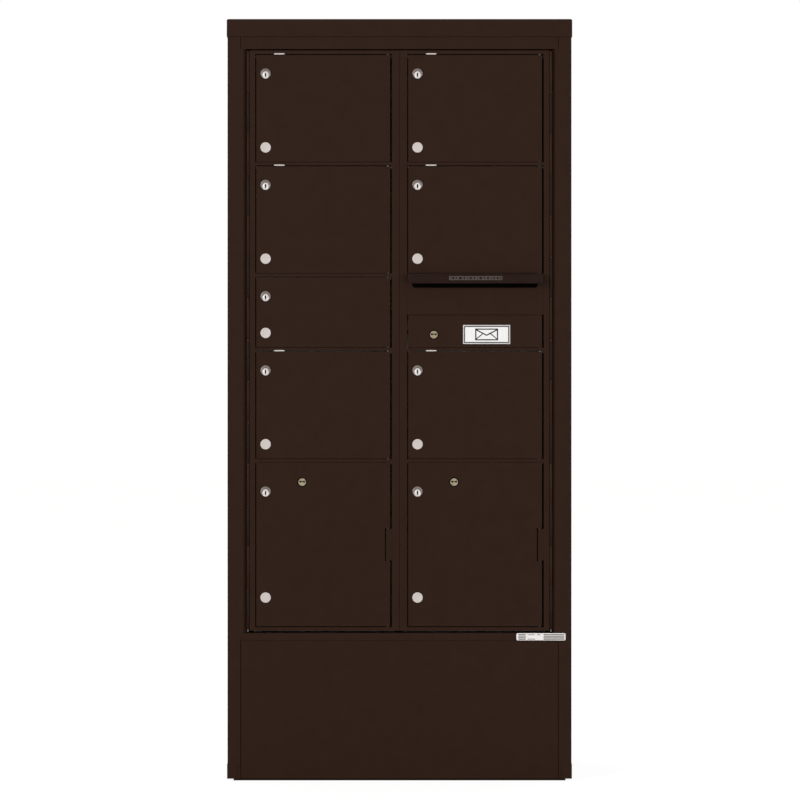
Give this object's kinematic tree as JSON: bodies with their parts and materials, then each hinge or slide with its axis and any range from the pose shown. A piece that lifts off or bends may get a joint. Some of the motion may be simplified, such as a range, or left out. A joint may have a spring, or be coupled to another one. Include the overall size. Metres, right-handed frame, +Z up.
{
  "type": "cluster mailbox unit",
  "caption": "Free-standing mail cabinet with two hinged master frames that carry locked letter and parcel doors, an outgoing mail slot under a rain hood, and a collection door.",
  "frame": {"origin": "middle of the four floor anchor holes, on the underside of the base plate", "axes": "+Z up, the doors face -Y, +X to the right as seen by a person who faces the doors"},
  "size_m": [0.828, 0.489, 1.825],
  "materials": {
    "bronze_paint": "satin powder coat",
    "bronze_paint_dark": "satin powder coat",
    "mill_aluminium": "mill finish",
    "stainless": "brushed",
    "zinc_steel": "zinc plated",
    "lock_nickel": "satin nickel plate",
    "plug_nickel": "bright nickel plate",
    "lock_brass": "satin brass"
  },
  "bodies": {
    "cabinet": {"side_panel_left": "bronze_paint", "side_panel_right": "bronze_paint", "back_panel": "bronze_paint", "top_cap": "bronze_paint", "header_rail": "bronze_paint", "sill_rail": "bronze_paint", "kick_panel": "bronze_paint", "base_pan": "bronze_paint", "corner_shoes": "bronze_paint", "compartment_walls": "mill_aluminium", "shelves": "mill_aluminium", "module_back": "mill_aluminium", "master_hinge_leaves": "bronze_paint_dark", "master_hinge_pins": "stainless"},
    "master_left": {"frame_left": "bronze_paint", "tenant_rod_left": "stainless"},
    "master_right": {"frame_right": "bronze_paint", "tenant_rod_right": "stainless", "slot_panel": "bronze_paint", "slot_hood": "bronze_paint_dark"},
    "latch_handle": {"latch_handle": "stainless"},
    "latch_rod_upper": {"latch_rod_upper": "stainless"},
    "latch_rod_lower": {"latch_rod_lower": "stainless"},
    "door_l1": {"door_l1": "bronze_paint", "lock_barrel_l1": "lock_nickel"},
    "door_l2": {"door_l2": "bronze_paint", "lock_barrel_l2": "lock_nickel"},
    "door_l3": {"door_l3": "bronze_paint", "lock_barrel_l3": "lock_nickel"},
    "door_l4": {"door_l4": "bronze_paint", "lock_barrel_l4": "lock_nickel"},
    "door_r1": {"door_r1": "bronze_paint", "lock_barrel_r1": "lock_nickel"},
    "door_r2": {"door_r2": "bronze_paint", "lock_barrel_r2": "lock_nickel"},
    "door_r3": {"door_r3": "bronze_paint", "lock_barrel_r3": "lock_nickel"},
    "door_parcel_l": {"door_parcel_l": "bronze_paint", "lock_barrel_parcel_l": "lock_nickel", "arrow_case_parcel_l": "zinc_steel"},
    "door_parcel_r": {"door_parcel_r": "bronze_paint", "lock_barrel_parcel_r": "lock_nickel", "arrow_case_parcel_r": "zinc_steel"},
    "door_mail": {"door_mail": "bronze_paint", "arrow_case_mail": "zinc_steel"},
    "lock_plug_l1": {"lock_plug_l1": "plug_nickel"},
    "lock_plug_l2": {"lock_plug_l2": "plug_nickel"},
    "lock_plug_l3": {"lock_plug_l3": "plug_nickel"},
    "lock_plug_l4": {"lock_plug_l4": "plug_nickel"},
    "lock_plug_r1": {"lock_plug_r1": "plug_nickel"},
    "lock_plug_r2": {"lock_plug_r2": "plug_nickel"},
    "lock_plug_r3": {"lock_plug_r3": "plug_nickel"},
    "lock_plug_parcel_l": {"lock_plug_parcel_l": "plug_nickel"},
    "lock_plug_parcel_r": {"lock_plug_parcel_r": "plug_nickel"},
    "arrow_plug_parcel_l": {"arrow_plug_parcel_l": "lock_brass"},
    "arrow_plug_parcel_r": {"arrow_plug_parcel_r": "lock_brass"},
    "arrow_plug_mail": {"arrow_plug_mail": "lock_brass"},
    "arrow_bolt_parcel_l": {"arrow_bolt_parcel_l": "zinc_steel"},
    "arrow_bolt_parcel_r": {"arrow_bolt_parcel_r": "zinc_steel"},
    "arrow_bolt_mail": {"arrow_bolt_mail": "zinc_steel"}
  },
  "joints": [
    {"name": "master_left_hinge", "type": "hinge", "parent": "cabinet", "child": "master_left", "pos_m": [-0.363, -0.2292, 1.05], "axis": [0, 0, 1], "range_deg": [-95, 0]},
    {"name": "master_right_hinge", "type": "hinge", "parent": "cabinet", "child": "master_right", "pos_m": [0.363, -0.2292, 1.05], "axis": [0, 0, 1], "range_deg": [0, 95]},
    {"name": "door_l1_hinge", "type": "hinge", "parent": "master_left", "child": "door_l1", "pos_m": [-0.0284, -0.227, 1.6104], "axis": [0, 0, 1], "range_deg": [0, 95]},
    {"name": "door_l2_hinge", "type": "hinge", "parent": "master_left", "child": "door_l2", "pos_m": [-0.0284, -0.227, 1.3437], "axis": [0, 0, 1], "range_deg": [0, 95]},
    {"name": "door_l3_hinge", "type": "hinge", "parent": "master_left", "child": "door_l3", "pos_m": [-0.0284, -0.227, 1.12145], "axis": [0, 0, 1], "range_deg": [0, 95]},
    {"name": "door_l4_hinge", "type": "hinge", "parent": "master_left", "child": "door_l4", "pos_m": [-0.0284, -0.227, 0.8992], "axis": [0, 0, 1], "range_deg": [0, 95]},
    {"name": "door_r1_hinge", "type": "hinge", "parent": "master_right", "child": "door_r1", "pos_m": [0.3356, -0.227, 1.6104], "axis": [0, 0, 1], "range_deg": [0, 95]},
    {"name": "door_r2_hinge", "type": "hinge", "parent": "master_right", "child": "door_r2", "pos_m": [0.3356, -0.227, 1.3437], "axis": [0, 0, 1], "range_deg": [0, 95]},
    {"name": "door_r3_hinge", "type": "hinge", "parent": "master_right", "child": "door_r3", "pos_m": [0.3356, -0.227, 0.8992], "axis": [0, 0, 1], "range_deg": [0, 95]},
    {"name": "door_parcel_l_hinge", "type": "hinge", "parent": "master_left", "child": "door_parcel_l", "pos_m": [-0.0284, -0.227, 0.5651], "axis": [0, 0, 1], "range_deg": [0, 95]},
    {"name": "door_parcel_r_hinge", "type": "hinge", "parent": "master_right", "child": "door_parcel_r", "pos_m": [0.3356, -0.227, 0.5651], "axis": [0, 0, 1], "range_deg": [0, 95]},
    {"name": "door_mail_hinge", "type": "hinge", "parent": "master_right", "child": "door_mail", "pos_m": [0.3356, -0.227, 1.0766], "axis": [0, 0, 1], "range_deg": [0, 95]},
    {"name": "lock_plug_l1_turn", "type": "hinge", "parent": "door_l1", "child": "lock_plug_l1", "pos_m": [-0.3208, -0.232, 1.6903], "axis": [0, 1, 0], "range_deg": [0, 90]},
    {"name": "lock_plug_l2_turn", "type": "hinge", "parent": "door_l2", "child": "lock_plug_l2", "pos_m": [-0.3208, -0.232, 1.4236], "axis": [0, 1, 0], "range_deg": [0, 90]},
    {"name": "lock_plug_l3_turn", "type": "hinge", "parent": "door_l3", "child": "lock_plug_l3", "pos_m": [-0.3208, -0.232, 1.1569], "axis": [0, 1, 0], "range_deg": [0, 90]},
    {"name": "lock_plug_l4_turn", "type": "hinge", "parent": "door_l4", "child": "lock_plug_l4", "pos_m": [-0.3208, -0.232, 0.9791], "axis": [0, 1, 0], "range_deg": [0, 90]},
    {"name": "lock_plug_r1_turn", "type": "hinge", "parent": "door_r1", "child": "lock_plug_r1", "pos_m": [0.0432, -0.232, 1.6903], "axis": [0, 1, 0], "range_deg": [0, 90]},
    {"name": "lock_plug_r2_turn", "type": "hinge", "parent": "door_r2", "child": "lock_plug_r2", "pos_m": [0.0432, -0.232, 1.4236], "axis": [0, 1, 0], "range_deg": [0, 90]},
    {"name": "lock_plug_r3_turn", "type": "hinge", "parent": "door_r3", "child": "lock_plug_r3", "pos_m": [0.0432, -0.232, 0.9791], "axis": [0, 1, 0], "range_deg": [0, 90]},
    {"name": "lock_plug_parcel_l_turn", "type": "hinge", "parent": "door_parcel_l", "child": "lock_plug_parcel_l", "pos_m": [-0.3208, -0.232, 0.6889], "axis": [0, 1, 0], "range_deg": [0, 90]},
    {"name": "lock_plug_parcel_r_turn", "type": "hinge", "parent": "door_parcel_r", "child": "lock_plug_parcel_r", "pos_m": [0.0432, -0.232, 0.6889], "axis": [0, 1, 0], "range_deg": [0, 90]},
    {"name": "arrow_plug_parcel_l_turn", "type": "hinge", "parent": "door_parcel_l", "child": "arrow_plug_parcel_l", "pos_m": [-0.2332, -0.232, 0.7154], "axis": [0, 1, 0], "range_deg": [0, 180]},
    {"name": "arrow_plug_parcel_r_turn", "type": "hinge", "parent": "door_parcel_r", "child": "arrow_plug_parcel_r", "pos_m": [0.1308, -0.232, 0.7154], "axis": [0, 1, 0], "range_deg": [0, 180]},
    {"name": "arrow_plug_mail_turn", "type": "hinge", "parent": "door_mail", "child": "arrow_plug_mail", "pos_m": [0.0823, -0.232, 1.0687], "axis": [0, 1, 0], "range_deg": [0, 180]},
    {"name": "arrow_bolt_parcel_l_slide", "type": "slide", "parent": "door_parcel_l", "child": "arrow_bolt_parcel_l", "axis": [0, 0, 1], "range_m": [0, 0.012]},
    {"name": "arrow_bolt_parcel_r_slide", "type": "slide", "parent": "door_parcel_r", "child": "arrow_bolt_parcel_r", "axis": [0, 0, 1], "range_m": [0, 0.012]},
    {"name": "arrow_bolt_mail_slide", "type": "slide", "parent": "door_mail", "child": "arrow_bolt_mail", "axis": [0, 0, 1], "range_m": [0, 0.012]},
    {"name": "latch_handle_turn", "type": "hinge", "parent": "master_right", "child": "latch_handle", "pos_m": [0.018, -0.202, 1.076], "axis": [0, -1, 0], "range_deg": [0, 90]},
    {"name": "latch_rod_upper_slide", "type": "slide", "parent": "master_right", "child": "latch_rod_upper", "axis": [0, 0, 1], "range_m": [0, 0.01697]},
    {"name": "latch_rod_lower_slide", "type": "slide", "parent": "master_right", "child": "latch_rod_lower", "axis": [0, 0, -1], "range_m": [0, 0.01697]}
  ],
  "couplings": [
    {"joint": "arrow_bolt_parcel_l_slide", "follows": "arrow_plug_parcel_l_turn", "m_per_rad": 0.0038197},
    {"joint": "arrow_bolt_parcel_r_slide", "follows": "arrow_plug_parcel_r_turn", "m_per_rad": 0.0038197},
    {"joint": "arrow_bolt_mail_slide", "follows": "arrow_plug_mail_turn", "m_per_rad": 0.0038197},
    {"joint": "latch_rod_upper_slide", "follows": "latch_handle_turn", "m_per_rad": 0.010803},
    {"joint": "latch_rod_lower_slide", "follows": "latch_handle_turn", "m_per_rad": 0.010803}
  ]
}
